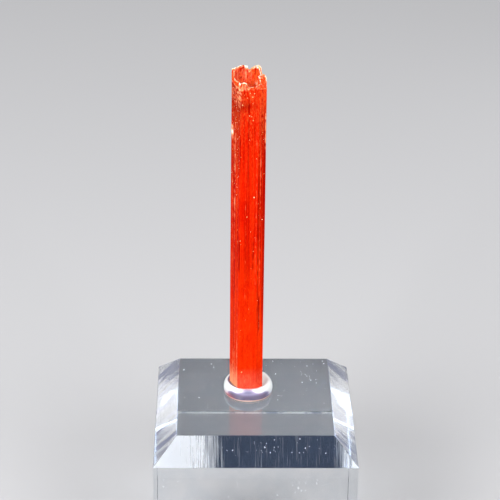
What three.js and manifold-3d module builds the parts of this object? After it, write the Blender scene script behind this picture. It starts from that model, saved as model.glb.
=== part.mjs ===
// One crocoite crystal, a straight striated prism with a hollow broken end. It stands on a bevelled
// block of clear acrylic, in a ring of clear glue.
//
// Millimetres, +Z up. The origin is the centre of the block's underside. The crystal's widest
// clean face looks towards -Y.

import * as THREE from 'three';
import { mergeVertices } from 'three/addons/utils/BufferGeometryUtils.js';
import Module from 'manifold-3d';

const wasm = await Module();
wasm.setup();

// Display block, one inch square
const blockSide = 25.4;
const blockHeight = 24;
const bevel = 2.9;

// Ring of glue. Its section is a curve up its side, one in to its crest, and one down into the dish
// round the crystal: radius and height of each curve's handles and its end.
const beadCentre = { x: -0.8, y: 1.45 };
const beadHeight = 1.65;
const beadFootRadius = 3;
const beadSide = [3.2, 0.3, 3.25, 0.8, 3.1, 1.1];
const beadCrest = [2.95, beadHeight, 2.6, beadHeight];
const beadDishHeight = 1.2;
const beadDish = [2.2, beadHeight, 2, beadDishHeight];
const beadBoreRadius = 1; // start of the hole, all of it inside the crystal's pocket
const beadSides = 48;
const glueGap = 0.25; // between the glue and the crystal

// Crystal. Its section has eight sides, and each face has a parallel one across the axis, so
// half of the corners give them all.
const crystalCentre = { x: -1.125, y: 1.275 };
const halfCorners = [
  [-1.055, -2.075],
  [1.185, -1.875],
  [2.075, -1.425],
  [2.075, 0.075],
];

// Hollow end. Its floor is the section moved in by the inset, and then made smaller by the taper.
const hollowInset = 0.5;
const hollowTaper = 0.86;
const hollowFloor = 40.6; // above the crystal's foot

// Broken rim, from the front-left corner and on by the right-hand side: direction from the axis
// in degrees, height of the outer edge, how much higher the inner edge is, and the wall's thickness.
const brokenRim = [
  [-117, 42.14, 0.8, 0.5],
  [-111, 42.14, 0.84, 0.5],
  [-105, 42.14, 0.78, 0.5],
  [-101, 42.14, 0.7, 0.5],
  [-98, 42.14, 0.45, 0.5],
  [-95, 42.15, 0.32, 0.5],
  [-88, 42.17, 0.25, 0.5],
  [-80, 42.2, 0.2, 0.5],
  [-68, 42.28, 0.12, 0.48],
  [-57.7, 42.27, 0.15, 0.48],
  [-46, 42.25, 0.4, 0.58],
  [-34.5, 42.25, 0.47, 0.74],
  [-20, 42.5, 0.28, 0.82],
  [2.1, 43, 0.05, 0.84],
  [14, 43.22, -0.12, 0.8],
  [20, 43.22, -0.2, 0.5],
  [26, 43.15, -0.15, 0.34],
  [31, 43.1, 0.12, 0.3],
  [34, 43.2, 0.22, 0.3],
  [38, 43.5, 0.1, 0.3],
  [43, 43.88, -0.08, 0.3],
  [54, 43.95, -0.12, 0.3],
  [63, 43.9, -0.12, 0.3],
  [74, 43.69, -0.1, 0.32],
  [86, 43.42, -0.1, 0.35],
  [90.5, 43.32, -0.1, 0.36],
  [94, 43.76, -0.1, 0.36],
  [102, 43.84, -0.1, 0.36],
  [112, 43.9, -0.1, 0.36],
  [122.3, 43.79, -0.1, 0.35],
  [134.7, 43.66, -0.1, 0.33],
  [145.5, 43.6, -0.05, 0.3],
  [163, 43.5, 0.1, 0.3],
  [172, 43.2, 0.15, 0.3],
  [182.1, 42.8, 0.22, 0.3],
  [200, 42.5, 0.42, 0.3],
  [210, 42.4, 0.55, 0.3],
  [221, 42.33, 0.63, 0.3],
  [231.5, 42.28, 0.56, 0.3],
  [233.5, 42.25, 0.42, 0.34],
  [236, 42.2, 0.66, 0.42],
];

const group = new THREE.Group();

function addMesh(name, geometry, material, x, y, z) {
  const mesh = new THREE.Mesh(geometry, material);
  mesh.name = name;
  mesh.position.set(x, y, z);
  group.add(mesh);
}

// A closed geometry that has only positions, with its shared vertices merged.
function welded(geometry) {
  geometry.deleteAttribute('normal');
  geometry.deleteAttribute('uv');
  return mergeVertices(geometry);
}

function toSolid(geometry) {
  const { attributes, index } = welded(geometry);
  return new wasm.Manifold(new wasm.Mesh({
    numProp: 3,
    vertProperties: new Float32Array(attributes.position.array),
    triVerts: new Uint32Array(index.array),
  }));
}

function toGeometry(solid) {
  const { vertProperties, triVerts } = solid.getMesh();
  const geometry = new THREE.BufferGeometry();
  geometry.setAttribute('position', new THREE.BufferAttribute(vertProperties, 3));
  geometry.setIndex(new THREE.BufferAttribute(triVerts, 1));
  geometry.computeVertexNormals();
  return geometry;
}

// A LatheGeometry turns about Y. This stands it up along Z.
function lathe(profile, segments, start = 0) {
  return new THREE.LatheGeometry(profile, segments, start).rotateX(Math.PI / 2);
}

// Four turns of a lathe, a quarter each, make a square block, and its profile makes the bevel.
function makeBlock() {
  const halfDiagonal = (side) => side * Math.SQRT1_2;
  const profile = [
    new THREE.Vector2(0, 0),
    new THREE.Vector2(halfDiagonal(blockSide), 0),
    new THREE.Vector2(halfDiagonal(blockSide), blockHeight - bevel),
    new THREE.Vector2(halfDiagonal(blockSide - 2 * bevel), blockHeight),
    new THREE.Vector2(0, blockHeight),
  ];
  return lathe(profile, 4, Math.PI / 4);
}

// Distance from the crystal's axis to its side, in one direction, with the faces moved out.
function outlineRadius(angle, out = 0) {
  const corners = [...halfCorners, ...halfCorners.map(([x, y]) => [-x, -y])];
  const reach = corners.map(([x, y], i) => {
    const [nextX, nextY] = corners[(i + 1) % corners.length];
    const facing = Math.atan2(x - nextX, nextY - y);
    const distance = x * Math.cos(facing) + y * Math.sin(facing) + out;
    const slant = Math.cos(angle - facing);
    return slant > 0 ? distance / slant : Infinity;
  });
  return Math.min(...reach);
}

// The crystal starts as a turned cup of unit radius. Each meridian then goes to its own
// direction, as far out as the prism's side and as high as the broken rim.
function makeCrystal() {
  const foot = 1;
  const outerRim = 2;
  const innerRim = 3;
  const floorEdge = 4;
  const profile = [[0, 0], [1, 0], [1, 1], [0.8, 1], [0.6, 0.9], [0, 0.9]];
  const meridians = brokenRim.length;
  const geometry = new THREE.LatheGeometry(profile.map(([r, z]) => new THREE.Vector2(r, z)), meridians);
  const position = geometry.attributes.position;

  for (let i = 0; i < position.count; i += 1) {
    const ring = i % profile.length;
    const meridian = Math.floor(i / profile.length) % meridians;
    const [degrees, outerHeight, rise, thickness] = brokenRim[meridian];
    const angle = THREE.MathUtils.degToRad(degrees);
    const outer = outlineRadius(angle);
    const hollow = outlineRadius(angle, -hollowInset);
    const inner = hollow + hollowInset - thickness;
    const radius = {
      [foot]: outer,
      [outerRim]: outer,
      [innerRim]: inner,
      [floorEdge]: hollow * hollowTaper,
    };
    const height = { [outerRim]: outerHeight, [innerRim]: outerHeight + rise, [floorEdge]: hollowFloor };
    const r = radius[ring] ?? 0;
    const z = height[ring] ?? (ring > floorEdge ? hollowFloor : 0);
    position.setXYZ(i, r * Math.cos(angle), r * Math.sin(angle), z);
  }
  return welded(geometry);
}

// A turned ring with a round crest, and a pocket in it for the crystal.
function makeBead() {
  const section = new THREE.Path();
  section.moveTo(beadBoreRadius, 0);
  section.lineTo(beadFootRadius, 0);
  section.bezierCurveTo(...beadSide);
  section.quadraticCurveTo(...beadCrest);
  section.quadraticCurveTo(...beadDish);
  section.lineTo(beadBoreRadius, beadDishHeight);
  section.closePath();
  const curveSteps = 5;
  const ring = toSolid(lathe(section.getPoints(curveSteps), beadSides));

  const pocketOutline = new THREE.Shape(brokenRim.map(([degrees]) => {
    const angle = THREE.MathUtils.degToRad(degrees);
    const radius = outlineRadius(angle, glueGap);
    return new THREE.Vector2(radius * Math.cos(angle), radius * Math.sin(angle));
  }));
  const spare = 1; // how far the pocket's cutter reaches past the ring, below and above
  const depth = beadHeight + 2 * spare;
  const pocket = new THREE.ExtrudeGeometry(pocketOutline, { depth, bevelEnabled: false });
  pocket.translate(crystalCentre.x - beadCentre.x, crystalCentre.y - beadCentre.y, -spare);
  return toGeometry(ring.subtract(toSolid(pocket)));
}

const acrylic = new THREE.MeshStandardMaterial({
  color: 0xe9edf2,
  roughness: 0.05,
  metalness: 0,
  transparent: true,
  opacity: 0.35,
});
const glue = new THREE.MeshStandardMaterial({
  color: 0xf3f4f8,
  roughness: 0.1,
  metalness: 0,
  transparent: true,
  opacity: 0.5,
});
const crocoite = new THREE.MeshStandardMaterial({ color: 0xf0300c, roughness: 0.25, metalness: 0 });

addMesh('acrylic_block', makeBlock(), acrylic, 0, 0, 0);
addMesh('glue_bead', makeBead(), glue, beadCentre.x, beadCentre.y, blockHeight);
addMesh('crocoite_crystal', makeCrystal(), crocoite, crystalCentre.x, crystalCentre.y, blockHeight);

export default group;
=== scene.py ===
import bpy
import math
import random
from mathutils import Matrix, Vector, noise


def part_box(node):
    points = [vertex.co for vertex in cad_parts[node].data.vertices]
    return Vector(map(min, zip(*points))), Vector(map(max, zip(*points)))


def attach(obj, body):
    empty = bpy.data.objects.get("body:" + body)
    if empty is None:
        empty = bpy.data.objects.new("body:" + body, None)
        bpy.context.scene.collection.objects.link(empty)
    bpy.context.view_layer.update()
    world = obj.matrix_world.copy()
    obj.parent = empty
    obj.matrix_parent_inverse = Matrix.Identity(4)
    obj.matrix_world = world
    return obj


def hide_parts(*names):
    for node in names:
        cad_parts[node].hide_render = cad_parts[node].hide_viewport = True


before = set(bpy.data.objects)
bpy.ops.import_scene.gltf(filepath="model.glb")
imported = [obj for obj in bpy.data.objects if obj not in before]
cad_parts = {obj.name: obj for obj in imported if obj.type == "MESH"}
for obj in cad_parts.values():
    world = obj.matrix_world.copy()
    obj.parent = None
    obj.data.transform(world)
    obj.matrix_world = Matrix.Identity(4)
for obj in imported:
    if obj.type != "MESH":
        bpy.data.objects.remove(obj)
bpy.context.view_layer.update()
mm = 0.001
tiny = 0.001 * mm  # less than this counts as the same place


# Picking and editing

def pickOnly(obj):
    bpy.ops.object.select_all(action="DESELECT")
    bpy.context.view_layer.objects.active = obj
    obj.select_set(True)


def openMesh(obj, mode="FACE", picked="DESELECT"):
    pickOnly(obj)
    bpy.ops.object.mode_set(mode="EDIT")
    bpy.ops.mesh.select_mode(type=mode)
    bpy.ops.mesh.select_all(action=picked)


def closeMesh():
    bpy.ops.object.mode_set(mode="OBJECT")


def pickFaces(obj, wanted):
    openMesh(obj)
    closeMesh()
    for face in obj.data.polygons:
        face.select = wanted(face.center, face.normal)
    bpy.ops.object.mode_set(mode="EDIT")


def pickEdges(obj, wanted):
    openMesh(obj, "EDGE")
    closeMesh()
    points = [vertex.co for vertex in obj.data.vertices]
    for edge in obj.data.edges:
        edge.select = wanted(points[edge.vertices[0]], points[edge.vertices[1]])
    bpy.ops.object.mode_set(mode="EDIT")


def addObject(name, data):
    obj = bpy.data.objects.new(name, data)
    bpy.context.scene.collection.objects.link(obj)
    return obj


def addBox(low, high, spare=1):
    # a box between two corners, its width and depth made larger by the spare
    bpy.ops.mesh.primitive_cube_add(size=1, location=(low + high) / 2)
    box = bpy.context.object
    box.scale = ((high.x - low.x) * spare, (high.y - low.y) * spare, high.z - low.z)
    bpy.ops.object.transform_apply(location=True, rotation=True, scale=True)
    return box


def cutAcross(obj, point, normal, drop=False):
    openMesh(obj, picked="SELECT")
    bpy.ops.mesh.bisect(plane_co=point, plane_no=normal, use_fill=drop, clear_outer=drop)
    closeMesh()


def drawUp(step, scale, centre):
    bpy.ops.mesh.extrude_region_move(TRANSFORM_OT_translate={"value": (0, 0, step)})
    bpy.ops.transform.resize(value=(scale, scale, 1), center_override=centre)


def splitEdges(obj, wanted, cuts):
    pickEdges(obj, wanted)
    bpy.ops.mesh.subdivide(number_cuts=cuts)
    closeMesh()


def applyModifier(obj, kind, **settings):
    pickOnly(obj)
    modifier = obj.modifiers.new("shaping", kind)
    for key, value in settings.items():
        setattr(modifier, key, value)
    bpy.ops.object.modifier_apply(modifier=modifier.name)


def faceOut(obj):
    openMesh(obj, picked="SELECT")
    bpy.ops.mesh.normals_make_consistent(inside=False)
    closeMesh()


def joinAll(pieces):
    bpy.ops.object.select_all(action="DESELECT")
    for piece in pieces:
        piece.select_set(True)
    bpy.context.view_layer.objects.active = pieces[0]
    bpy.ops.object.join()
    return bpy.context.object


def addMarks(obj, names):
    # a number for each point, under each name
    for name in names:
        obj.data.attributes.new(name, "FLOAT", "POINT")
    return {name: obj.data.attributes[name].data for name in names}


def finishPiece(obj, name, node):
    obj.name = name
    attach(obj, "root")
    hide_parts(node)


# Measuring

def middleAt(node, level):
    # the middle of a CAD piece, at its "low" or "high" level
    low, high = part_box(node)
    return Vector(((low.x + high.x) / 2, (low.y + high.y) / 2, {"low": low.z, "high": high.z}[level]))


def smoothStep(value, start, end):
    t = min(max((value - start) / (end - start), 0), 1)
    return t * t * (3 - 2 * t)


def graded(value, usual, more, places):
    # a usual amount, and more from one place on to the next
    return usual + more * smoothStep(value, *places)


def peak(value, at, width):
    return max(0, 1 - abs(value - at) / width)


def spanned(value, low, high, soft):
    # 1 between two places, with soft ends
    return smoothStep(value, low - soft, low + soft) * (1 - smoothStep(value, high - soft, high + soft))


# Materials

def newMaterial(name):
    material = bpy.data.materials.new(name)
    material.use_nodes = True
    tree = material.node_tree
    return material, tree, tree.nodes["Principled BSDF"]


def plug(tree, node, inputs):
    # links each input, by its name or place, to a socket, or gives it a value
    for key, value in inputs.items():
        if isinstance(value, bpy.types.NodeSocket):
            tree.links.new(value, node.inputs[key])
        elif node.inputs[key].type == "RGBA":
            node.inputs[key].default_value = (*value, 1)
        else:
            node.inputs[key].default_value = value


def addNode(tree, kind, inputs):
    node = tree.nodes.new("ShaderNode" + kind)
    plug(tree, node, inputs)
    return node


def noisePattern(tree, stretch=(1, 1, 1), **settings):
    place = addNode(tree, "TexCoord", {})
    mapping = addNode(tree, "Mapping", {"Scale": stretch, "Vector": place.outputs["Object"]})
    pattern = addNode(tree, "TexNoise", {"Vector": mapping.outputs["Vector"], **settings})
    return pattern.outputs["Fac"]


def alongAxis(tree, axis, start, end):
    # rises from 0 to 1 between two places along one axis
    place = addNode(tree, "TexCoord", {})
    split = addNode(tree, "SeparateXYZ", {"Vector": place.outputs["Object"]})
    span = addNode(tree, "MapRange", {"From Min": start, "From Max": end, "Value": split.outputs[axis]})
    span.interpolation_type = "SMOOTHSTEP"
    return span.outputs["Result"]


def ramp(tree, source, stops):
    # each stop is a place and a colour, or one number for a grey
    node = addNode(tree, "ValToRGB", {"Fac": source})
    elements = node.color_ramp.elements
    while len(elements) < len(stops):
        elements.new(0.5)
    for element, (place, value) in zip(elements, stops):
        element.position = place
        element.color = (*value, 1) if isinstance(value, tuple) else (value, value, value, 1)
    return node.outputs["Color"]


def mixColour(tree, factor, first, second, blend="MIX"):
    node = tree.nodes.new("ShaderNodeMix")
    node.data_type = "RGBA"
    node.blend_type = blend
    plug(tree, node, {0: factor, 6: first, 7: second})  # where the sockets for colours are
    return node.outputs[2]


def readAttribute(tree, name):
    node = addNode(tree, "Attribute", {})
    node.attribute_name = name
    return node.outputs["Fac"]


def addMath(tree, operation, first, second):
    node = addNode(tree, "Math", {0: first, 1: second})
    node.operation = operation
    return node.outputs[0]


def patchy(tree, strength, pattern, limits):
    # a strength, broken into flecks by a pattern, that shows between two limits
    raised = addMath(tree, "ADD", strength, pattern)
    return ramp(tree, raised, [(limits[0], 0), (limits[1], 1)])


def addBump(tree, shader, height, strength, distance, under=None):
    bump = addNode(tree, "Bump", {"Strength": strength, "Distance": distance, "Height": height})
    if under:
        plug(tree, bump, {"Normal": under.outputs["Normal"]})
    plug(tree, shader, {"Normal": bump.outputs["Normal"]})
    return bump


def addAbsorption(tree, look):
    volume = addNode(tree, "VolumeAbsorption", {"Color": look["tint"], "Density": look["density"]})
    plug(tree, tree.nodes["Material Output"], {"Volume": volume.outputs["Volume"]})


# Display block

displayBlock = {
    "bevel": 2.9 * mm,
    "scuff": 0.24 * mm,
    "softEdge": 0.1 * mm,
    "ior": 1.49,
    "tint": (0.72, 0.86, 1.0),
    "density": 3.0,
    "streaks": {"Detail": 3, "Roughness": 0.6},
    # clear is the share of light let through. The pattern goes from dull to bright, and from smooth
    # to rough, between its two levels. haze is a pale end: its start and end along X, and how much.
    "finishes": {
        "clearAcrylic": {
            "clear": 1, "stretch": (1, 1, 1), "scale": 520, "levels": (0.34, 0.62),
            "dull": (0.91, 0.935, 0.96), "bright": (1, 1, 1), "roughness": (0.006, 0.06),
            "bump": (0.05, 0.02 * mm)},
        "sawnAcrylicFront": {
            "clear": 0.7, "stretch": (1, 0.025, 0.025), "scale": 7600, "levels": (0.6, 1.0),
            "dull": (0.026, 0.034, 0.058), "bright": (1, 1, 1), "roughness": (0.05, 0.3),
            "bump": (0.06, 0.03 * mm),
            "haze": [(-2.4 * mm, -9.6 * mm, 0.64), (9.2 * mm, 12.2 * mm, 0.48)]},
        "sawnAcrylicSide": {
            "clear": 0.72, "stretch": (0.1, 1, 0.1), "scale": 1100, "levels": (0.38, 0.56),
            "dull": (0.5, 0.53, 0.72), "bright": (1, 1, 1), "roughness": (0.03, 0.12),
            "bump": (0.12, 0.03 * mm)},
        "scuffedAcrylic": {
            "clear": 0.5, "stretch": (1, 1, 1), "scale": 500, "levels": (0.44, 0.52),
            "dull": (0.3, 0.33, 0.4), "bright": (1, 1, 0.98), "roughness": (0.3, 0.6),
            "bump": (0.5, 0.05 * mm)},
    },
}


def makeAcrylic(name, marks):
    material, tree, shader = newMaterial(name)
    streaks = noisePattern(tree, marks["stretch"], Scale=marks["scale"], **displayBlock["streaks"])
    pattern = streaks
    for start, end, amount in marks.get("haze", []):
        haze = alongAxis(tree, "X", start, end)
        pattern = addMath(tree, "ADD", pattern, addMath(tree, "MULTIPLY", haze, amount))
    low, high = marks["levels"]
    smooth, rough = marks["roughness"]
    plug(tree, shader, {
        "Base Color": ramp(tree, pattern, [(low, marks["dull"]), (high, marks["bright"])]),
        "Roughness": ramp(tree, pattern, [(low, smooth), (high, rough)]),
        "Transmission Weight": marks["clear"],
        "IOR": displayBlock["ior"],
    })
    addBump(tree, shader, streaks, *marks["bump"])
    addAbsorption(tree, displayBlock)
    return material


def bevelEdges(block, wanted, width):
    pickEdges(block, wanted)
    bpy.ops.mesh.bevel(offset=width, offset_type="OFFSET", segments=1, affect="EDGES")
    closeMesh()


def makeBlock():
    low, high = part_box("acrylic_block")
    block = addBox(low, high)
    bevelEdges(block, lambda a, b: min(a.z, b.z) > high.z - tiny, displayBlock["bevel"])
    bevelEdges(block, lambda a, b: max(a.z, b.z) < low.z + tiny, displayBlock["scuff"])
    for name, marks in displayBlock["finishes"].items():
        block.data.materials.append(makeAcrylic(name, marks))
    sawnFront, sawnSide, scuffed = 1, 2, 3  # places of the finishes in the list
    for face in block.data.polygons:
        if 0.5 < face.normal.z < 0.9:
            face.material_index = sawnFront if abs(face.normal.y) > 0.5 else sawnSide
        elif -0.9 < face.normal.z < -0.5:
            face.material_index = scuffed
    applyModifier(block, "BEVEL", width=displayBlock["softEdge"], segments=2, limit_method="ANGLE")
    finishPiece(block, "displayBlock", "acrylic_block")


# Ring of glue

glueRing = {
    "sides": 40,
    # shares of the ring's outer radius and of its height, from its foot up and over into the dish
    "foot": 0.97,
    "rise": [(0.99, 0.18), (1.0, 0.42), (0.985, 0.68), (0.94, 0.9), (0.87, 0.985), (0.8, 0.98),
             (0.74, 0.94), (0.64, 0.82), (0.2, 0.78)],
    "inset": 0.2 * mm,
    "sink": 0.03 * mm,
    "waver": 0.02,
    "waverFineness": 1.3,
    "sag": 0.12,
    # how milky and lit, and how pink each part is painted, and where: by the lift from its foot (0) to its
    # crest (1), the turn in degrees from its front round to the right, and the reach from its axis (0) to
    # its rim (1)
    # The crest and the left and right ends are whitened as painted highlight; the dish at the left and
    # front is kept dark as painted shade.
    "tints": {
        "side": 0.14, "sideLift": (0.09, 0.19), "crest": 0.86, "crestLift": (0.42, 0.96),
        "ends": 0.5, "endsTurn": (40, 62), "endsLift": (0.1, 0.3),
        "leftDish": 0.8, "leftReach": (0.8, 0.87), "frontDish": 0.4, "frontReach": (0.68, 0.71),
        "dishSide": (0.2, 0.5),
        "clear": 0.5, "clearTurn": (-2, 34), "clearLift": (0.6, 0.85), "clearReach": (0.72, 0.86),
        "pinkReflection": 0.85, "pinkReflectionTurn": (-54, 26), "pinkReflectionLift": (0.2, 0.35),
    },
    # by how milky and lit the glue is painted: bluish where clear, white where highlight is painted
    "colours": [(0.05, (1, 0.66, 0.55)), (0.12, (0.25, 0.26, 0.43)), (0.4, (0.34, 0.35, 0.55)),
                (0.53, (0.52, 0.47, 0.7)), (0.63, (0.88, 0.92, 0.96)), (0.8, (0.95, 1, 1))],
    "clear": [(0.05, 0.25), (0.12, 0.6), (0.45, 0.4), (0.62, 0.2)],
    "roughness": [(0.3, 0.02), (0.7, 0.05)],
    # pink, a painted reflection of the red crystal in the glue
    "blush": (0.85, 0.22, 0.2),
    "clouds": {"Scale": 700, "Detail": 2},
    "cloudy": 0.14,
    "ripples": {"Scale": 900, "Detail": 2},
    "rippled": (0.3, 0.05 * mm),
    "ior": 1.5,
    "tint": (0.8, 0.85, 1.0),
    "density": 20,
}


def makeGlueMaterial():
    # clear and bluish at the front of its side; white at its crest and its left and right ends, partly
    # milky and partly painted highlight
    material, tree, shader = newMaterial("setGlue")
    clouds = noisePattern(tree, **glueRing["clouds"])
    milkAndLight = addMath(tree, "SUBTRACT", clouds, 0.5)
    milkAndLight = addMath(tree, "MULTIPLY", milkAndLight, glueRing["cloudy"])
    milkAndLight = addMath(tree, "ADD", readAttribute(tree, "milkAndLight"), milkAndLight)
    colour = ramp(tree, milkAndLight, glueRing["colours"])
    plug(tree, shader, {
        # the base colour takes on the painted pink reflection of the crystal
        "Base Color": mixColour(tree, readAttribute(tree, "blush"), colour, glueRing["blush"]),
        "Transmission Weight": ramp(tree, milkAndLight, glueRing["clear"]),
        "Roughness": ramp(tree, clouds, glueRing["roughness"]),
        "IOR": glueRing["ior"],
    })
    ripples = noisePattern(tree, **glueRing["ripples"])
    addBump(tree, shader, ripples, *glueRing["rippled"])
    addAbsorption(tree, glueRing)
    return material


def glueTint(out, lift):
    # how milky and lit, and how pink a place is painted. out is its way from the axis as a share of the
    # radius.
    tint = glueRing["tints"]
    turn = math.degrees(math.atan2(out.x, -out.y))
    reach = out.length

    def step(value, name):
        return smoothStep(value, *tint[name])

    # painted highlight: whiter at the crest and at the left and right ends
    crest = step(lift, "crestLift")
    ends = step(abs(turn), "endsTurn") * step(lift, "endsLift") * (1 - crest)
    milkAndLight = tint["side"] * step(lift, "sideLift") + tint["crest"] * crest + tint["ends"] * ends
    # painted shade: the dish darker at the left and the front
    milkAndLight *= 1 - tint["leftDish"] * (1 - step(reach, "leftReach")) * step(-out.x, "dishSide")
    milkAndLight -= tint["frontDish"] * (1 - step(reach, "frontReach")) * step(-out.y, "dishSide")
    patch = smoothStep(peak(turn, *tint["clearTurn"]), 0, 0.9) * step(lift, "clearLift")
    milkAndLight -= tint["clear"] * patch * step(reach, "clearReach")
    # painted reflection: pink low at the left front, where the red crystal shows in the glue
    return milkAndLight, tint["pinkReflection"] * peak(turn, *tint["pinkReflectionTurn"]) * peak(lift, *tint["pinkReflectionLift"])


def raiseRing(foot, radius, height):
    # a disc, drawn up in steps to the ring's section
    bpy.ops.mesh.primitive_circle_add(vertices=glueRing["sides"], radius=radius * glueRing["foot"],
                                      fill_type="NGON", location=foot)
    glue = bpy.context.object
    bpy.ops.object.transform_apply(location=True, rotation=True, scale=True)
    openMesh(glue, picked="SELECT")
    nowAt, nowWide = 0, glueRing["foot"]
    for wide, at in glueRing["rise"]:
        drawUp((at - nowAt) * height, wide / nowWide, foot)
        nowAt, nowWide = at, wide
    closeMesh()
    faceOut(glue)
    pickFaces(glue, lambda centre, normal: normal.z < -0.9)
    bpy.ops.mesh.inset(thickness=glueRing["inset"])
    closeMesh()
    applyModifier(glue, "SUBSURF", levels=2, render_levels=2)
    return glue


def makeGlue():
    low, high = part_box("glue_bead")
    centre = (low + high) / 2
    radius = (high.x - low.x) / 2
    foot = Vector((centre.x, centre.y, low.z - glueRing["sink"]))
    glue = raiseRing(foot, radius, high.z - low.z)
    # the first mark holds milkiness with painted highlight and shade, the second a painted pink reflection
    marks = addMarks(glue, ("milkAndLight", "blush"))
    for vertex in glue.data.vertices:
        out = vertex.co - centre
        lift = (vertex.co.z - foot.z) / (high.z - foot.z)
        for name, value in zip(marks, glueTint(out.xy / radius, lift)):
            marks[name][vertex.index].value = value
        waver = noise.noise(Vector((out.x, out.y, 0)).normalized() * glueRing["waverFineness"])
        vertex.co.x += out.x * waver * glueRing["waver"]
        vertex.co.y += out.y * waver * glueRing["waver"]
        vertex.co.z -= smoothStep(lift, 0, 1) * abs(waver) * glueRing["sag"] * (high.z - low.z)
    bpy.ops.object.shade_smooth()
    glue.data.materials.append(makeGlueMaterial())
    finishPiece(glue, "glueRing", "glue_bead")


# Crystal. Sizes are in mm, x from its axis to the right and heights above its foot.

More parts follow.
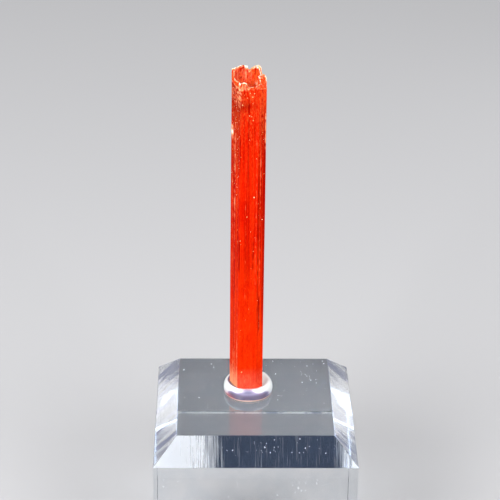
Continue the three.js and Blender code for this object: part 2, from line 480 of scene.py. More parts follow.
crocoite = {
    # half of the section's corners, from the front left round by the right. The rest are opposite.
    "corners": [(-1.055, -2.075), (1.185, -1.875), (2.075, -1.425), (2.075, 0.075)],
    "stock": 1.3,  # how much wider than the crystal it starts
    "flatTop": 43.2,
    "wall": 0.5,
    "hollow": 2.6,
    "taper": 0.86,
    "column": 0.06,  # spacing of the lengthwise edges
    "nearEdge": 0.03,
    "row": 0.4,
    "topRow": 0.13,
    "hollowRow": 0.195,
    "topZone": 5.0,
    "wallRows": 4,
    "smoothAngle": 28,
    # growth ribs: how fine they are across and along, a shift, and their depth
    "ribs": [(2.3, 0.03, (4, 0), 0.035), (7.5, 0.07, (0, 9), 0.026)],
    "ribsGrow": (0.35, 0.65, (8, 26)),  # their share at the foot, how much more higher up, and where
    # broken rim: direction from the axis in degrees, height of the outer edge, how much higher the
    # inner edge is, and the wall's thickness
    "rim": [
        (-117, 42.14, 0.8, 0.5), (-111, 42.14, 0.84, 0.5), (-105, 42.14, 0.78, 0.5),
        (-101, 42.14, 0.7, 0.5), (-98, 42.14, 0.45, 0.5), (-95, 42.15, 0.32, 0.5), (-88, 42.17, 0.25, 0.5),
        (-80, 42.2, 0.2, 0.5), (-68, 42.28, 0.12, 0.48), (-57.7, 42.27, 0.15, 0.48),
        (-52, 42.26, 0.28, 0.5), (-46, 42.25, 0.4, 0.58), (-34.5, 42.25, 0.47, 0.74),
        (-20, 42.5, 0.28, 0.82), (2, 43.0, 0.05, 0.84), (9, 43.18, -0.07, 0.84), (14, 43.22, -0.12, 0.8),
        (20, 43.22, -0.2, 0.5), (26, 43.15, -0.15, 0.34), (31, 43.1, 0.12, 0.3), (34, 43.2, 0.22, 0.3),
        (38, 43.5, 0.1, 0.3), (43, 43.88, -0.08, 0.3), (54, 43.95, -0.12, 0.3), (62.5, 43.91, -0.12, 0.3),
        (74, 43.69, -0.1, 0.32), (86, 43.42, -0.1, 0.35), (90.5, 43.32, -0.1, 0.36),
        (92.5, 43.38, -0.1, 0.36), (94, 43.76, -0.1, 0.36), (102, 43.84, -0.1, 0.36),
        (112, 43.9, -0.1, 0.36), (119, 43.84, -0.1, 0.35), (128, 43.7, -0.1, 0.34),
        (134.7, 43.66, -0.1, 0.33), (145.5, 43.6, -0.05, 0.3), (163, 43.5, 0.1, 0.28),
        (172, 43.2, 0.15, 0.28), (182, 42.8, 0.22, 0.26), (200, 42.5, 0.42, 0.18), (210, 42.4, 0.55, 0.16),
        (221, 42.33, 0.63, 0.17), (229, 42.3, 0.66, 0.2), (231.5, 42.28, 0.56, 0.26),
        (233.5, 42.25, 0.42, 0.34), (236, 42.2, 0.66, 0.42),
    ],
    # how frosty the broken rim is, partly painted highlight along its edges: direction, the break itself,
    # its inner edge and its outer edge
    "rimFrostAndHighlight": [
        (-117, 0.12, 0.5, 0.25), (-112, 0.12, 1.2, 0.3), (-101, 0.12, 1.5, 0.3), (-98, 0.1, 0.6, 0.2),
        (-95, 0.14, 0.9, 0.3), (-86, 0.1, 0.9, 0.25), (-78, 0.08, 0.85, 0.2), (-60, 0.08, 0.8, 0.16),
        (-50, 0.08, 0.3, 0.16), (-36, 0.06, 0.4, 0.16), (-16, 0.06, 0.9, 0.2), (-4, 0.1, 1, 1.1),
        (6, 0.2, 1, 0.8), (16, 0.4, 0.9, 0.5), (24, 0.4, 0.9, 0.5), (30, 0.3, 1.1, 0.3),
        (40, 0.3, 1.2, 0.3), (50, 0.5, 1.1, 0.6), (62, 0.5, 0.8, 1), (75, 0.34, 0.6, 1.1),
        (86, 0.24, 0.4, 0.9), (92, 0.3, 0.5, 0.6), (95, 0.9, 0.9, 1.1), (105, 0.9, 0.9, 1.1),
        (108.5, 0.1, 0.1, 0.4), (112, 0.2, 0.1, 0.9), (122, 0.2, 0.1, 0.8), (135, 0.24, 0.1, 1.2),
        (146, 0.24, 0.3, 1.2), (154, 0.08, 0.8, 0.1), (180, 0.04, 0.7, 0.04), (200, 0.04, 0.55, 0.06),
        (222, 0.04, 0.5, 0.1), (229, 0.1, 0.45, 0.12), (231.5, 0.3, 1.4, 0.2), (234.5, 0.3, 1.4, 0.25),
        (237, 0.14, 0.5, 0.3),
    ],
    # roughness of the rim's edges and of the break: how fine, per metre, and how deep
    "crumble": (4500, 0.06),
    "breakRough": [(3000, 0.14), (8000, 0.08)],
    # frost on the edges, partly painted highlight: its usual share, its swing, and how fine it is per metre
    "edgeFrostAndHighlight": (0.75, 1.2, 4200),
    "breakFrost": (0.24, 5200),  # swing and fineness on the break
    "edgeWide": 0.1,
    "outerWide": 0.08,
    "breakScaly": 0.34,
    "breakLined": 0.2,
    # dark lines on the faces, grooved and darkened with painted shade in the groove: x, lowest and highest
    # point, half width, depth, and how dark
    "grooves": [
        (-1.0, 12, 36, 0.08, 0.03, 0.3), (1.28, 11, 31, 0.1, 0.03, 0.4),
        (-1.07, 17.9, 22.2, 0.14, 0.03, 0.5), (0.67, 17.9, 22.2, 0.14, 0.03, 0.55),
        (0.0, 30, 42, 0.12, 0.02, 0.3), (0.72, 33, 38, 0.06, 0.02, 0.3),
        (1.5, 9.6, 14.6, 0.16, 0.04, 0.55), (-0.4, 19, 27, 0.1, 0.02, 0.2),
    ],
    # pale lines: x, lowest and highest point, half width, and how frosty
    "seams": [
        (-1.63, 25.5, 37.5, 0.24, 0.27), (-1.63, 3, 26, 0.2, 0.12), (-1.9, 14, 36, 0.1, 0.16),
        (-1.25, 3, 37, 0.1, 0.14), (-0.28, 14, 34, 0.07, 0.2), (0.35, 8, 22, 0.06, 0.1),
        (1.0, 16, 37, 0.12, 0.17), (1.53, 9, 34, 0.12, 0.16), (2.0, 34.5, 39.5, 0.07, 0.5),
    ],
    "lineEnds": 0.6,  # how softly the lines and marks end
    "markEnds": 0.15,
    # on the hollow's back wall: x, lowest and highest point, half width, how dark and how frosty
    "hollowMarks": [
        (-0.67, 43.2, 44.6, 0.12, 1.6, 0), (-1.0, 43.1, 44, 0.5, 0.35, 0),
        (-0.36, 42.3, 43.3, 0.16, 0, 0.12), (0.24, 42.2, 43.6, 0.06, 0, 0.16),
        (0.65, 42.8, 43.8, 0.06, 0.7, 0), (0.9, 41, 43, 0.05, 0, 0.1), (0.92, 41.5, 42.05, 0.4, 0, 0.6),
    ],
    # the hollow's wall: an amount, how much more there is on the right or higher up, and from where
    "hollowFrost": (0.17, -0.13, (-0.2, 0.8)),
    "hollowScaly": (0.3, 0.1, (0, 0.9)),
    "hollowLow": (0.26, -0.26, (41.2, 42.6)),
    "hollowLined": 0.4,
    "hollowRibs": 40,  # ribbed as the sides are at this height
    # parts of a side: which way, and how far out each starts and is full. The left widens higher up.
    "zones": {"left": (-1, 0.98, 1.2), "leftEdge": (-1, 1.75, 1.9),
              "right": (1, 1.1, 1.3), "rightEdge": (1, 1.7, 1.85)},
    "leftWidens": (-0.45, (30, 38)),
    # finish of the sides, with painted light and shade in it: on which part, the heights between which it
    # rises and falls, how much
    "sides": {
        # The frost rows that fade out near the foot are painted light, pink where the bright glue ring
        # lights the foot.
        "frost": [("left", None, (2, 11), 0.12), ("left", None, (1.5, 5), 0.16),
            ("right", (29, 34), None, 0.06), ("all", None, (0.5, 5), 0.06)],
        # These dark rows on the right, rightEdge and rightInner parts are painted shade, the right face
        # darker where it turns from the light; the others darken the sides towards the top and along the
        # left edge.
        "dusk": [("left", (28, 33), None, 0.19), ("left", (39.5, 41.5), None, 0.1),
            ("leftEdge", (10, 18), (29, 37), 0.16), ("rightEdge", (6, 14), (36, 44), 0.38),
            ("rightInner", (20.5, 25.5), (28, 33), 0.22), ("rightInner", (29, 39), (35.5, 45.5), 0.14),
            ("all", (28, 40), None, 0.1), ("notRight", (37, 41), None, 0.07)],
        "scaly": [("all", None, None, 0.04), ("all", (11, 23), None, 0.1), ("all", (28, 40), None, 0.12),
            ("all", (37, 40), None, 0.03), ("left", (11, 23), None, 0.06), ("right", (28, 40), None, 0.04)],
        "lined": [("all", None, None, 0.12), ("all", (11, 23), None, 0.3), ("left", (2, 9), None, 0.2),
            ("right", (2, 9), None, 0.2), ("left", (11, 23), None, 0.16), ("right", (11, 23), None, 0.38),
            ("right", (28, 40), None, -0.24)],
    },
    # frost at the top left: its heights, its amount, how much more on the right of it, and from where
    "topLeft": ((39, 41.6), (0.14, 0.1, (-1.8, -1.2))),
    "seamScales": 0.3,  # how scaly the pale lines are
    # spots: the middle of each, its size across and along, and how strong. The first is a pale spot on the
    # left edge, partly a painted highlight where a chip catches the light; the second is a darker cloud in
    # the crystal near the top. The crumbs are on the rim.
    "spots": {
        "chip": ((-2.0, 36.3), (0.28, 1.1), 1),
        "shadow": ((-0.4, 40.6), (1.7, 1.3), 0.2),
        "crumbs": ((1.12, -0.25), (0.4, 0.4), 0.5),
    },
    # what wanders: its usual strength, its swing, and how fine it is across and along
    "uneven": {
        "wander": (0, 0.05, 10, 0.25),
        "groove": (1, 1.2, 10, 1.2),
        "seam": (0.65, 1.5, 4, 2.3),
        "mottle": (0.95, 1.3, 5, 3),
        "chip": (0.8, 1, 5, 2.2),
    },
    # patterns of the surface, and the limits between which each finish shows in them
    "patterns": {
        "fine": {"stretch": (1, 1, 0.014), "Scale": 5600, "Detail": 3},
        "broad": {"stretch": (1, 1, 0.01), "Scale": 2300, "Detail": 2},
        "clouds": {"stretch": (1, 1, 0.4), "Scale": 700, "Detail": 4},
        "flecks": {"stretch": (1, 1, 0.36), "Scale": 6400, "Detail": 6, "Roughness": 0.78},
    },
    "limits": {"scale": (0.76, 0.98), "pit": (0.84, 1.0), "dusk": (0.62, 1.0), "frost": (0.56, 0.82)},
    "colours": {
        "deep": (0.36, 0.003, 0.0006), "body": (0.59, 0.0102, 0.0006), "bright": (0.69, 0.03, 0.003),
        # glow and foot are painted light: the body brighter towards its foot, and pink at the foot, as
        # light through the crystal and from the glue
        "glow": (0.66, 0.02, 0.0008), "foot": (0.74, 0.1, 0.05), "scale": (0.78, 0.12, 0.025),
        "pit": (0.22, 0.014, 0.006), "dusk": (0.22, 0.002, 0.0006), "blush": (0.72, 0.055, 0.01),
        # frost and white: pale frost, partly painted highlight
        "frost": (0.88, 0.36, 0.19), "white": (0.93, 0.79, 0.68),
    },
    "ramps": {
        "descent": [(0, "body"), (0.45, "glow"), (0.93, "glow"), (0.995, "foot")],
        "broad": [(0.34, "deep"), (0.46, "body"), (0.54, "body"), (0.68, "bright")],
        "frost": [(0.05, "blush"), (0.4, "frost"), (0.85, "white")],
    },
    # shades that multiply the colour, by the pattern: how strong, and their colours
    "shades": {
        "fine": (1.0, [(0.36, (0.55, 0.4, 0.4)), (0.5, (1, 1, 1)), (0.64, (1.15, 2.2, 2.6))]),
        "clouds": (0.8, [(0.36, (0.86, 0.5, 0.5)), (0.56, (1, 1, 1))]),
        "flecks": (0.7, [(0.34, (0.76, 0.5, 0.5)), (0.5, (1, 1, 1)), (0.66, (1.1, 2.4, 2.6))]),
    },
    "pitShare": 0.5,  # how pitted scaly places are
    "bumps": {"fine": (0.6, 0.05 * mm), "flecks": (0.4, 0.04 * mm)},
    "paintedGlowHeight": 27,  # from here down the body is painted brighter, a painted glow
    "roughness": [(0, 0.24), (1, 0.6)],
    "shader": {
        "Subsurface Weight": 0.4,
        "Subsurface Radius": (1.0, 0.2, 0.06),
        "Subsurface Scale": 0.8 * mm,
        "IOR": 1.6,
        "Specular IOR Level": 0.005,
        "Specular Tint": (1, 0.45, 0.25),
    },
}


def makeCrocoite(foot):
    material, tree, shader = newMaterial("crocoite")
    colours, limits = crocoite["colours"], crocoite["limits"]
    pattern = {name: noisePattern(tree, **made) for name, made in crocoite["patterns"].items()}

    def ramped(source, name):
        stops = [(place, colours[shade]) for place, shade in crocoite["ramps"][name]]
        return ramp(tree, source, stops)

    def shaded(colour, name):
        strength, stops = crocoite["shades"][name]
        shade = ramp(tree, pattern[name], stops)
        return mixColour(tree, strength, colour, shade, "MULTIPLY")

    # lengthwise growth lines, light and dark, under soft clouds
    lined = readAttribute(tree, "lined")
    # painted glow: brighter towards the foot and pink at the very foot
    descent = alongAxis(tree, "Z", foot + crocoite["paintedGlowHeight"] * mm, foot)
    colour = mixColour(tree, lined, ramped(descent, "descent"), ramped(pattern["broad"], "broad"))
    colour = mixColour(tree, lined, colour, shaded(colour, "fine"))
    colour = shaded(colour, "clouds")

    # scales and pits
    scaly = readAttribute(tree, "scaly")
    colour = shaded(colour, "flecks")
    scales = patchy(tree, scaly, pattern["flecks"], limits["scale"])
    colour = mixColour(tree, scales, colour, colours["scale"])
    holes = addMath(tree, "SUBTRACT", 1, pattern["flecks"])
    pitted = addMath(tree, "MULTIPLY", scaly, crocoite["pitShare"])
    pits = patchy(tree, pitted, holes, limits["pit"])
    colour = mixColour(tree, pits, colour, colours["pit"])

    # dark patches with painted shade among them, and frost with painted highlight, streaked lengthwise
    streaky = addMath(tree, "ADD", pattern["fine"], pattern["flecks"])
    streaky = addMath(tree, "MULTIPLY", streaky, 0.5)
    darkAndShadePatches = patchy(tree, readAttribute(tree, "dusk"), streaky, limits["dusk"])
    colour = mixColour(tree, darkAndShadePatches, colour, colours["dusk"])
    frost = readAttribute(tree, "frost")
    # frost patches are partly painted highlight, standing in for the crystal's glints
    frostAndHighlightPatches = patchy(tree, frost, streaky, limits["frost"])
    colour = mixColour(tree, frostAndHighlightPatches, colour, ramped(frost, "frost"))

    plug(tree, shader, {"Base Color": colour, **crocoite["shader"],
                        "Roughness": ramp(tree, frostAndHighlightPatches, crocoite["roughness"])})
    bumps = crocoite["bumps"]
    ridges = addBump(tree, shader, pattern["fine"], *bumps["fine"])
    addBump(tree, shader, pattern["flecks"], *bumps["flecks"], under=ridges)
    return material


def atAngle(table, angle):
    # the table's row for a direction, worked out between its neighbours
    points = table + [(table[0][0] + 360, *table[0][1:])]
    degrees = (math.degrees(angle) - table[0][0]) % 360 + table[0][0]
    for (start, *row), (end, *following) in zip(points, points[1:]):
        if degrees <= end:
            t = (degrees - start) / (end - start)
            return [value + (later - value) * t for value, later in zip(row, following)]
    return points[-1][1:]


def crystalFaces():
    half = [Vector((x * mm, y * mm, 0)) for x, y in crocoite["corners"]]
    ring = half + [-corner for corner in half]
    faces = []
    for corner, following in zip(ring, ring[1:] + ring[:1]):
        along = following - corner
        facing = Vector((along.y, -along.x, 0)).normalized()
        faces.append({"corner": corner, "along": along, "facing": facing, "reach": corner.dot(facing)})
    return faces


def cutPrism(low, high, faces):
    # a stock a little wider than the crystal, cut to its eight sides
    crystal = addBox(low, high, crocoite["stock"])
    axis = (low + high) / 2
    for face in faces:
        cutAcross(crystal, axis + face["corner"], face["facing"], drop=True)
    return crystal


def openHollow(crystal, axis, top):
    pickFaces(crystal, lambda centre, normal: normal.z > 0.9)
    bpy.ops.mesh.inset(thickness=crocoite["wall"] * mm)
    drawUp(-crocoite["hollow"] * mm, crocoite["taper"], (axis.x, axis.y, top))
    closeMesh()


def addColumns(crystal, axis, faces):
    square = 0.002  # less than this is a right angle
    for face in faces:
        facing = face["facing"]

        def runsAlong(a, b):
            flat = abs(a.z - b.z) < tiny and abs((b - a).normalized().dot(facing)) < square
            return flat and ((a + b) / 2 - axis).dot(facing) > 0

        splitEdges(crystal, runsAlong, round(face["along"].length / (crocoite["column"] * mm)) - 1)


def addRows(crystal, foot, top):
    zoneStart = top - crocoite["topZone"] * mm
    cutAcross(crystal, (0, 0, zoneStart), (0, 0, 1))
    spans = [
        (foot, zoneStart, crocoite["row"]),
        (zoneStart, top, crocoite["topRow"]),
        (top - crocoite["hollow"] * mm, top, crocoite["hollowRow"]),
    ]
    for start, end, row in spans:
        splitEdges(crystal, lambda a, b: abs(min(a.z, b.z) - start) + abs(max(a.z, b.z) - end) < tiny,
                   round((end - start) / (row * mm)) - 1)


def addWallRows(crystal, depthIn, top):
    half = crocoite["wall"] * mm / 2
    splitEdges(crystal, lambda a, b: min(a.z, b.z) > top - tiny and abs(depthIn(a) - depthIn(b)) > half,
               crocoite["wallRows"])


plainFinish = {"frost": 0, "dusk": 0, "scaly": 0, "lined": 0}


def uneven(name, x, z, seed):
    # a strength that wanders over a face
    usual, swing, across, along = crocoite["uneven"][name]
    return usual + swing * noise.noise(Vector((x * across, seed, z * along)))


def spot(name, x, y):
    # strongest in the middle of an oval, and nothing from its edge on
    (atX, atY), (wide, tall), amount = crocoite["spots"][name]
    return amount * peak(math.hypot((x - atX) / wide, (y - atY) / tall), 0, 1)


def ribbing(x, y, z):
    # lengthwise growth ribs, in mm, stronger towards the broken end
    depths = [depth * noise.noise(Vector((x * across + shift[0], y * across + shift[1], z * along)))
              for across, along, shift, depth in crocoite["ribs"]]
    return graded(z, *crocoite["ribsGrow"]) * sum(depths)


def linesAt(name, x, z, ends, made=lambda at: (0, 1)):
    # what a table's lines come to at a place. made gives a line's shift and strength there.
    sums = [0, 0]
    for at, low, high, halfWidth, *amounts in crocoite[name]:
        shift, strength = made(at)
        strength *= spanned(z, low, high, crocoite[ends]) * peak(x, at + shift, halfWidth)
        sums = [total + amount * strength for total, amount in zip(sums, amounts)]
    return sums


def sideZones(x, z):
    # how much of each part of a side a place belongs to
    zones = {"all": 1}
    for name, (way, start, full) in crocoite["zones"].items():
        widened = graded(z, start, *crocoite["leftWidens"]) if name == "left" else start
        zones[name] = smoothStep(x * way, widened, full)
    zones["rightInner"] = zones["right"] - zones["rightEdge"]
    zones["notRight"] = 1 - zones["right"]
    return zones


def sideFinish(x, z, atFront):
    # how frosty, how dark, how scaly and how lined a side is; the frost is partly painted highlight and the
    # dark partly painted shade
    zones = sideZones(x, z)
    finish = dict(plainFinish)
    for name, rows in crocoite["sides"].items():
        for zone, rise, fall, amount in rows:
            strength = amount * zones[zone]
            if rise:
                strength *= smoothStep(z, *rise)
            if fall:
                strength *= 1 - smoothStep(z, *fall)
            finish[name] += strength
    heights, across = crocoite["topLeft"]
    topLeft = zones["left"] * smoothStep(z, *heights) * graded(x, *across)
    [pale] = linesAt("seams", x, z, "lineEnds", lambda at: (
        0, min(max(uneven("seam", x, z, at * 10), 0), 1.1)))
    finish["frost"] += topLeft * uneven("mottle", x, z, 2) + pale
    finish["scaly"] += crocoite["seamScales"] * pale
    # a darker cloud in the crystal near the top of the front
    finish["dusk"] += spot("shadow", x, z)
    if atFront:
        # a pale spot where a chip on the left edge catches the light: partly frost, partly painted
        # highlight
        finish["frost"] += uneven("chip", x, z, 3) * spot("chip", x, z)
    return finish


def rimAt(out, foot):
    # the broken rim in one direction: levels of its edges, wall, and frost, partly painted highlight on its
    # edges
    angle = math.atan2(out.y, out.x)
    height, rise, thickness = atAngle(crocoite["rim"], angle)
    onBreak, onInner, onOuter = atAngle(crocoite["rimFrostAndHighlight"], angle)
    fineness, depth = crocoite["crumble"]
    outer = foot + (height + depth * noise.noise(out * fineness)) * mm
    usual, swing, fineness = crocoite["edgeFrostAndHighlight"]
    broken = usual + swing * noise.noise(out * fineness)
    return {"outer": outer, "inner": outer + rise * mm, "thickness": thickness,
            "breakFrost": onBreak, "innerFrostAndHighlight": onInner * broken, "outerFrostAndHighlight": onOuter * broken}


def shapeSide(p, out, foot, top, rim, faces):
    # ribs and grooves, and the top edge at the broken rim
    near = [face for face in faces if out.dot(face["facing"]) > face["reach"] - crocoite["nearEdge"] * mm]
    facing = sum((face["facing"] for face in near), Vector()).normalized()
    height = p.z - foot
    x, z = out.x / mm if out.y < 0 else -out.x / mm, height / mm
    finish = sideFinish(x, z, out.y < 0)
    groove, shade = linesAt("grooves", x, z, "lineEnds", lambda at: (
        uneven("wander", at, z, 0), max(uneven("groove", at, z, 7), 0)))
    p.z += smoothStep(p.z, top - crocoite["topZone"] * mm, top) * (rim["outer"] - top)
    if height > tiny:
        p += facing * (ribbing(out.x / mm, out.y / mm, z) - groove) * mm
    # painted shade darkens the grooves
    finish["dusk"] += shade
    finish["frost"] += rim["outerFrostAndHighlight"] * peak(height, top - foot, crocoite["edgeWide"] * mm)
    return finish


def shapeBreak(p, out, rim, share):
    # the rough break between the rim's two edges, share from the outer to the inner one
    rough = sum(depth * noise.noise(out * fineness) for fineness, depth in crocoite["breakRough"])
    p.z = rim["outer"] + (rim["inner"] - rim["outer"]) * share + rough * mm * math.sin(math.pi * share)
    swing, fineness = crocoite["breakFrost"]
    frost = rim["breakFrost"] + swing * noise.noise(out * fineness)
    frost += (rim["innerFrostAndHighlight"] - frost) * peak(share, 1, crocoite["edgeWide"] / rim["thickness"])
    frost += (rim["outerFrostAndHighlight"] - frost) * peak(share, 0, crocoite["outerWide"] / rim["thickness"])
    return {"frost": frost, "dusk": 0, "scaly": crocoite["breakScaly"], "lined": crocoite["breakLined"]}


def shapeHollow(p, out, flat, foot, top, rim):
    # the wall of the hollow, ribbed as the sides are, and scaly low down
    floorLevel = top - crocoite["hollow"] * mm
    p.z += (p.z - floorLevel) / (top - floorLevel) * (rim["inner"] - top)
    p += flat * ribbing(out.x / mm, out.y / mm, crocoite["hollowRibs"]) * mm
    frost = graded(out.x / mm, *crocoite["hollowFrost"])
    scaly = graded(out.x / mm, *crocoite["hollowScaly"]) + graded((p.z - foot) / mm, *crocoite["hollowLow"])
    return {"frost": frost, "dusk": 0, "scaly": scaly, "lined": crocoite["hollowLined"]}


def sculptCrystal(crystal, axis, foot, top, faces, depthIn):
    # moves every point to its ribs, rim or hollow, and stores its finish, painted light and shade among it
    marks = addMarks(crystal, plainFinish)
    floorLevel = top - crocoite["hollow"] * mm
    wall = crocoite["wall"] * mm
    onSide, inside = 0.02 * mm, 0.1 * mm  # how deep in from the sides
    for vertex in crystal.data.vertices:
        p = vertex.co
        out = p - axis
        flat = Vector((out.x, out.y, 0)).normalized()
        depth = depthIn(p)
        share = min(depth / wall, 1)
        rim = rimAt(out, foot)
        if depth < onSide:
            finish = shapeSide(p, out, foot, top, rim, faces)
        elif p.z > top - tiny:
            finish = shapeBreak(p, out, rim, share)
        elif p.z > floorLevel + tiny:
            finish = shapeHollow(p, out, flat, foot, top, rim)
        else:
            finish = dict(plainFinish)
        if depth > inside and p.z > floorLevel + tiny:
            finish["frost"] += spot("crumbs", out.x / mm, out.y / mm)
            if out.y > 0:
                darker, paler = linesAt("hollowMarks", out.x / mm, (p.z - foot) / mm, "markEnds")
                finish["dusk"] += darker * share
                finish["frost"] += paler * share
            p += flat * (wall - rim["thickness"] * mm) * share
        for name, value in finish.items():
            marks[name][vertex.index].value = value


def makeCrystal():
    low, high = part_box("crocoite_crystal")
    foot = low.z
    top = foot + crocoite["flatTop"] * mm
    axis = middleAt("crocoite_crystal", "low")
    axis.z = 0
    faces = crystalFaces()

    def depthIn(p):
        return min(face["reach"] - (p - axis).dot(face["facing"]) for face in faces)

    crystal = cutPrism(low, Vector((high.x, high.y, top)), faces)
    openHollow(crystal, axis, top)
    addColumns(crystal, axis, faces)
    addRows(crystal, foot, top)
    addWallRows(crystal, depthIn, top)
    sculptCrystal(crystal, axis, foot, top, faces, depthIn)
    print("crystal has", len(crystal.data.polygons), "faces")
    crystal.data.materials.append(makeCrocoite(foot))
    bpy.ops.object.shade_smooth_by_angle(angle=math.radians(crocoite["smoothAngle"]))
    finishPiece(crystal, "crystal", "crocoite_crystal")


# Specks, copied from one grain

grainCuts = [((0.22, 0.1, 0), (1, 0.4, 0.3)), ((-0.1, 0.25, 0), (-0.3, 1, -0.4))]  # where, and which way


def makeSpeckle(name, look):
    material, tree, shader = newMaterial(name)
    speckle = noisePattern(tree, **look["speckle"])
    plug(tree, shader, {"Base Color": ramp(tree, speckle, look["colours"]), "Roughness": look["roughness"]})
    return material


def makeGrain():
    # one flat, chipped grain, 1 m across, to be copied
    bpy.ops.mesh.primitive_ico_sphere_add(subdivisions=1, radius=0.5)
    grain = bpy.context.object
    for point, normal in grainCuts:
        cutAcross(grain, point, normal, drop=True)
    faceOut(grain)
    return grain


def scatter(grain, places, dice):
    # copies of the grain at (place, the way the surface faces, size, how thin, how long)
    copies = []
    for place, facing, size, thin, long in places:
        copy = addObject("grain", grain.data.copy())
        spin = Matrix.Rotation(dice.uniform(0, math.tau), 3, "Z")
        squash = Matrix.Diagonal((size, size * long, size * thin))
        turn = facing.to_track_quat("Z", "Y").to_matrix()
        copy.data.transform((turn @ spin @ squash).to_4x4())
        copy.data.transform(Matrix.Translation(place))
        copies.append(copy)
    bpy.data.objects.remove(grain)
    return copies


def joinSpecks(pieces, name, material):
    specks = joinAll(pieces)
    specks.data.materials.clear()
    specks.data.materials.append(material)
    specks.name = name
    return specks


# Dust and scratches on the block

blockDust = {
    "seed": 11,
    "sizes": (0.05, 0.16),
    "smallShare": 2.5,  # the more, the more of them are small
    "thin": 0.25,
    "lengths": (0.6, 1, 1.6),
    "glueRadius": 3.6,  # none lies on the ring
    # where it lies on each side: middle and spread in mm, and how many
    "top": [((0, 0), (9.2, 9.2), 90), ((8, 5), (1.6, 4), 12), ((-7, -6), (2.5, 2), 14)],
    "frontBevel": [((0, 1.5), (11, 1.2), 60), ((1.5, 1.5), (2, 0.8), 10)],
    "sideBevel": [((0, 1.5), (11, 1.2), 36)],
    "front": [((0, 11), (12.2, 9.8), 70), ((6, 2.4), (1.6, 1.1), 26), ((-10.5, 2), (1, 1), 8)],
    # fine hairs and scratches: start, middle and end in mm from the middle of the side's front or
    # top edge, to the right and then back on the top or down on the front
    "hairThick": 0.005,
    "hairLift": 0.01,
    "topHairs": [((8.3, 4.6), (8.5, 3.9), (9.0, 3.6)), ((7.2, 15.1), (7.35, 14.5), (7.2, 13.8)),
                 ((6.1, 16.4), (6.3, 15.6), (6.2, 15.1)), ((-6.5, 5.1), (-6.1, 4.7), (-5.3, 4.8)),
                 ((2.9, 9.9), (3.3, 9.6), (3.6, 9.8)), ((-8.8, 1.2), (-8.4, 1.5), (-8.2, 2.2))],
    "frontHairs": [((8.1, 2.6), (8.8, 2.2), (9.7, 2.3)), ((5.1, 3.3), (5.4, 2.5), (5.5, 1.7)),
                   ((-2.4, 1.9), (-2.2, 2.3), (-2.3, 2.8)), ((11.2, 3.8), (11.4, 4.3), (11.3, 5.1))],
    "speckle": {"Scale": 2500, "Detail": 2},
    "colours": [(0.3, (0.4, 0.43, 0.48)), (0.6, (0.8, 0.82, 0.86))],
    "roughness": 0.8,
}


def makeHair(points):
    curve = bpy.data.curves.new("hair", "CURVE")
    curve.dimensions = "3D"
    curve.bevel_depth = blockDust["hairThick"] * mm
    curve.bevel_resolution = 1
    curve.use_fill_caps = True
    spline = curve.splines.new("NURBS")
    spline.points.add(len(points) - 1)
    for point, place in zip(spline.points, points):
        point.co = (*place, 1)
    spline.use_endpoint_u = True
    spline.order_u = 3
    pickOnly(addObject("hair", curve))
    bpy.ops.object.convert(target="MESH")
    return bpy.context.object


def blockSides(middle, half):
    # each kind of side: where its dust is measured from, its two directions, and how it faces
    bevel = displayBlock["bevel"]
    right, front, up = Vector((1, 0, 0)), Vector((0, -1, 0)), Vector((0, 0, 1))

    def bevelAt(out, along):
        slope = math.sqrt(0.5)
        return middle + out * (half - bevel), along, (out - up) * slope, (out + up) * slope

    return {
        "top": [(middle, right, -front, up)],
        "frontBevel": [bevelAt(front, right), bevelAt(-front, -right)],
        "sideBevel": [bevelAt(-right, -front), bevelAt(right, front)],
        "front": [(middle + front * half - up * bevel, right, -up, front)],
    }


def dustPlaces(middle, half, dice):
    glueFoot = middleAt("glue_bead", "low")
    smallest, largest = blockDust["sizes"]
    places = []
    for name, frames in blockSides(middle, half).items():
        for start, right, away, facing in frames:
            for (atX, atY), (wide, tall), count in blockDust[name]:
                for _ in range(count):
                    u = atX + wide * dice.uniform(-1, 1)
                    v = atY + tall * dice.uniform(-1, 1)
                    size = smallest + (largest - smallest) * dice.uniform(0, 1) ** blockDust["smallShare"]
                    long = dice.choice(blockDust["lengths"])
                    place = start + (right * u + away * v) * mm
                    clear = (place - glueFoot).xy.length >= blockDust["glueRadius"] * mm
                    if clear or name != "top":
                        places.append((place, facing, size * mm, blockDust["thin"], long))
    return places


def makeDust():
    low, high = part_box("acrylic_block")
    half = (high.x - low.x) / 2
    middle = middleAt("acrylic_block", "high")
    dice = random.Random(blockDust["seed"])
    places = dustPlaces(middle, half, dice)
    pieces = scatter(makeGrain(), places, dice)
    lift, bevel = blockDust["hairLift"], displayBlock["bevel"]
    corner = middle + Vector((0, bevel - half, 0))
    for points in blockDust["topHairs"]:
        pieces.append(makeHair([corner + Vector((x, y, lift)) * mm for x, y in points]))
    corner = middle + Vector((0, -half, -bevel))
    for points in blockDust["frontHairs"]:
        pieces.append(makeHair([corner + Vector((x, -lift, -y)) * mm for x, y in points]))
    dust = joinSpecks(pieces, "blockDust", makeSpeckle("dust", blockDust))
    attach(dust, "root")


# Pale grains on the crystal, which also stand in as painted glints

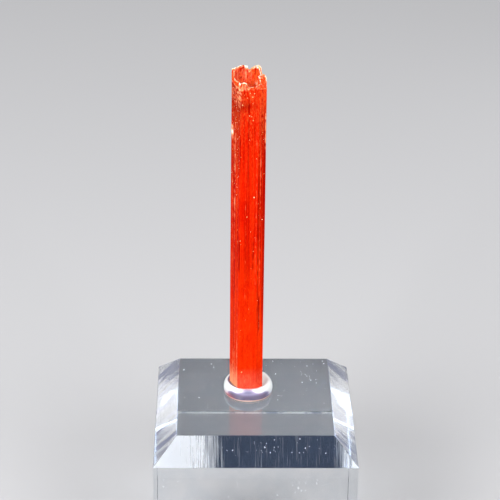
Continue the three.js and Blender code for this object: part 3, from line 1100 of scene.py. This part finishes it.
grainsAndGlints = {
    "seed": 5,
    "small": 170,
    "reach": 42,
    "highShare": 1.6,  # the more, the more of them are high up
    "sizes": (0.04, 0.08),
    # more on the upper part of the face on the left
    "left": 90,
    "leftHeights": (29, 42),
    "leftSizes": (0.05, 0.11),
    "thin": 0.5,
    "lengths": (0.8, 2),
    "edges": (0.04, 0.96),  # they keep off a face's edges
    "brightLength": 1.1,
    # bright ones on the front, partly painted glints: distance from the axis to the right, height and size
    # in mm
    "bright": [
        (0.12, 41.8, 0.16), (0.62, 41.75, 0.16), (0.42, 41.3, 0.2), (-0.22, 41.2, 0.14),
        (-0.79, 40.3, 0.18), (0.72, 28.2, 0.2), (-0.12, 25.6, 0.14), (1.47, 26.7, 0.13),
        (-1.42, 28.3, 0.16), (-0.93, 22.4, 0.13), (1.76, 25.1, 0.14), (-0.6, 3.9, 0.2), (0.05, 38.9, 0.12),
        (0.32, 38.8, 0.13), (0.5, 38.3, 0.17), (-1.1, 36.2, 0.11), (-0.2, 30.8, 0.1), (1.9, 31.2, 0.12),
        (0.35, 23.6, 0.1),
    ],
    "speckle": {"Scale": 1500, "Detail": 2},
    "colours": [(0.35, (0.8, 0.16, 0.03)), (0.5, (0.86, 0.38, 0.14)), (0.68, (0.95, 0.78, 0.55))],
    "roughness": 0.55,
}


def makeGrains():
    # the bright ones in their places, and a scatter of small ones, grains and painted glints both
    axis = middleAt("crocoite_crystal", "low")
    faces = crystalFaces()
    thin = grainsAndGlints["thin"]
    dice = random.Random(grainsAndGlints["seed"])
    places = []
    for x, z, size in grainsAndGlints["bright"]:
        face = next(f for f in faces if f["facing"].y < 0 and f["corner"].x <= x * mm
                    <= (f["corner"] + f["along"]).x)
        share = (x * mm - face["corner"].x) / face["along"].x
        place = axis + face["corner"] + face["along"] * share + Vector((0, 0, z * mm))
        places.append((place, face["facing"], size * mm, thin, grainsAndGlints["brightLength"]))
    spots = []
    for _ in range(grainsAndGlints["small"]):
        height = grainsAndGlints["reach"] * (1 - dice.uniform(0, 1) ** grainsAndGlints["highShare"])
        spots.append((dice.choice(faces), height, grainsAndGlints["sizes"]))
    for _ in range(grainsAndGlints["left"]):
        height = dice.uniform(*grainsAndGlints["leftHeights"])
        spots.append((faces[-1], height, grainsAndGlints["leftSizes"]))
    for face, height, sizes in spots:
        place = axis + face["corner"] + face["along"] * dice.uniform(*grainsAndGlints["edges"])
        place.z += height * mm
        size = dice.uniform(*sizes) * mm
        places.append((place, face["facing"], size, thin, dice.uniform(*grainsAndGlints["lengths"])))
    pieces = scatter(makeGrain(), places, dice)
    grains = joinSpecks(pieces, "grainsAndGlints", makeSpeckle("paleGrainAndGlint", grainsAndGlints))
    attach(grains, "root")


# Floor, light and camera

studio = {
    "floorSize": 3,
    "floorDrop": 0.05 * mm,
    "floorColour": (0.5, 0.5, 0.51),
    "floorRoughness": 0.7,
    # the room's light on matt surfaces, in mirrors and clear things, and straight from the camera
    "soft": (0.42, 0.42, 0.43),
    "mirrored": (0.1, 0.105, 0.12),
    "backdrop": (0.3, 0.3, 0.31),
    # direction from the front round to the right, height angle, distance, width, height, power
    "softboxes": {
        "left": (-38, 32, 0.55, 0.28, 0.24, 3.15),
        "right": (38, 32, 0.55, 0.28, 0.24, 2.0),
        "top": (180, 82, 0.6, 0.26, 0.26, 1.2),
        "stripLeft": (-147.9, 7.8, 0.339, 0.014, 0.09, 0.012),
        "stripRight": (146.8, 9.7, 0.2085, 0.012, 0.07, 0.006),
    },
    # the camera, from the middle of the block's top
    "place": (-4.94 * mm, -214.98 * mm, 125.09 * mm),
    "aim": (-0.81 * mm, 0, 20.79 * mm),
    "lens": 139.05,
    "nearest": 0.01,
    "roll": 0.68,
}


def makeFloor():
    bpy.ops.mesh.primitive_plane_add(size=studio["floorSize"], location=(0, 0, -studio["floorDrop"]))
    floor = bpy.context.object
    floor.name = "floor"
    material, tree, shader = newMaterial("paleFloor")
    plug(tree, shader, {"Base Color": studio["floorColour"], "Roughness": studio["floorRoughness"]})
    floor.data.materials.append(material)


def addSoftbox(name, turn, rise, distance, width, height, power):
    light = bpy.data.lights.new(name, "AREA")
    light.shape = "RECTANGLE"
    light.size = width
    light.size_y = height
    light.energy = power
    lamp = addObject(name, light)
    lamp.visible_camera = False
    turn, rise = math.radians(turn), math.radians(rise)
    away = Vector((math.sin(turn) * math.cos(rise), -math.cos(turn) * math.cos(rise), math.sin(rise)))
    lamp.location = away * distance
    lamp.rotation_euler = (-away).to_track_quat("-Z", "Y").to_euler()


def makeLight():
    # soft all round, grey beyond the floor, and dim where the clear block mirrors it
    world = bpy.data.worlds.new("studio")
    bpy.context.scene.world = world
    world.use_nodes = True
    tree = world.node_tree
    path = addNode(tree, "LightPath", {})
    colour = mixColour(tree, path.outputs["Is Diffuse Ray"], studio["mirrored"], studio["soft"])
    colour = mixColour(tree, path.outputs["Is Camera Ray"], colour, studio["backdrop"])
    plug(tree, tree.nodes["Background"], {"Color": colour})
    for name, box in studio["softboxes"].items():
        addSoftbox(name, *box)


def makeCamera():
    middle = middleAt("acrylic_block", "high")
    camera = addObject("camera", bpy.data.cameras.new("camera"))
    camera.data.lens = studio["lens"]
    camera.data.clip_start = studio["nearest"]
    camera.location = middle + Vector(studio["place"])
    look = middle + Vector(studio["aim"]) - camera.location
    camera.rotation_euler = look.to_track_quat("-Z", "Y").to_euler()
    camera.rotation_euler.rotate_axis("Z", math.radians(studio["roll"]))
    bpy.context.scene.camera = camera


print("block")
makeBlock()
print("glue")
makeGlue()
print("crystal")
makeCrystal()
print("dust and grains")
makeDust()
makeGrains()
print("studio")
makeFloor()
makeLight()
makeCamera()
bpy.context.scene.view_settings.view_transform = "Standard"
